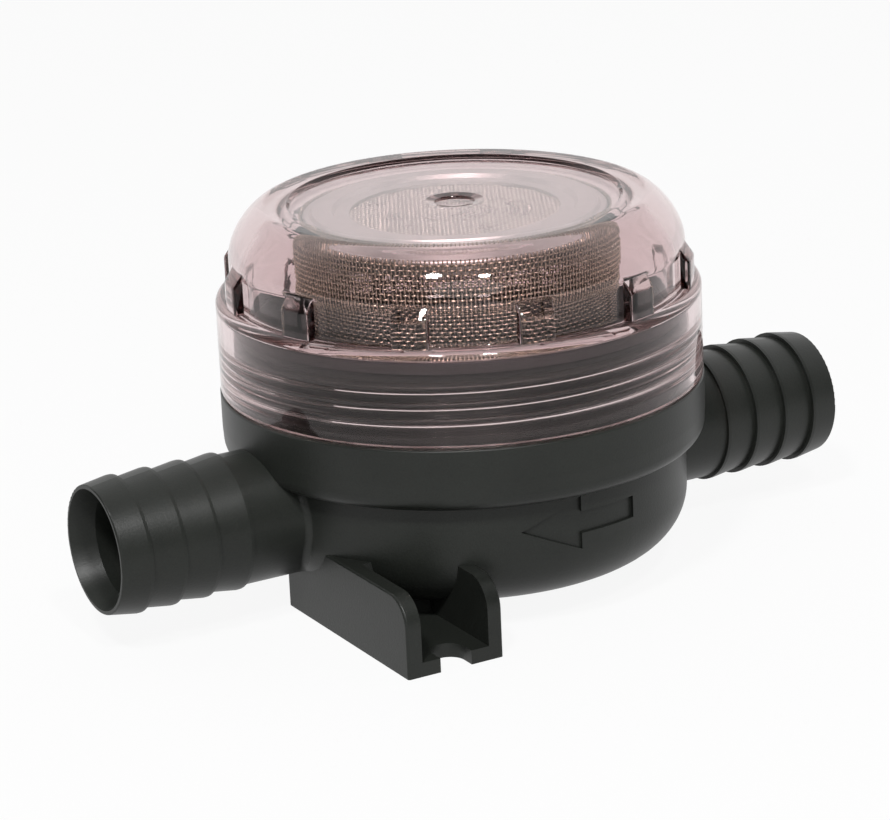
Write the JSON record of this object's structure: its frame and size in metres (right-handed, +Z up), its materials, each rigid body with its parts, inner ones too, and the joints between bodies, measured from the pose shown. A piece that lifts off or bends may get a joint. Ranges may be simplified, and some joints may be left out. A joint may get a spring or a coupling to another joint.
{
  "type": "inline water filter",
  "caption": "Inline water filter: moulded bowl with opposed hose barbs and slotted feet, clear screw lid with grip lugs, seal, and woven steel screen standing in a central well.",
  "frame": {"origin": "on the mounting plane under the feet, below the middle of the bowl", "axes": "+Z up along the bowl's axis, +X along the hoses towards the inlet barb, -Y towards the side with the flow arrow"},
  "size_m": [0.1276, 0.0752, 0.0599],
  "materials": {
    "housing_plastic": "satin black moulding with a fine grain",
    "clear_plastic": "clear, glossy, faint rose tint",
    "seal_rubber": "black rubber",
    "screen_steel": "stainless wire cloth and pressed rings"
  },
  "bodies": {
    "housing": {"housing": "housing_plastic", "screen_wall": "screen_steel", "screen_end": "screen_steel", "screen_end_ring": "screen_steel", "screen_base_ring": "screen_steel"},
    "seal": {"lid_seal": "seal_rubber"},
    "lid": {"lid": "clear_plastic"}
  },
  "joints": [
    {"name": "lid_lift", "type": "slide", "parent": "housing", "child": "seal", "axis": [0, 0, 1], "range_m": [0, 0.0076]},
    {"name": "lid_turn", "type": "hinge", "parent": "seal", "child": "lid", "pos_m": [0, 0, 0.038], "axis": [0, 0, 1], "range_deg": [0, 1080]}
  ],
  "couplings": [
    {"joint": "lid_lift", "follows": "lid_turn", "m_per_rad": 0.00039789}
  ]
}
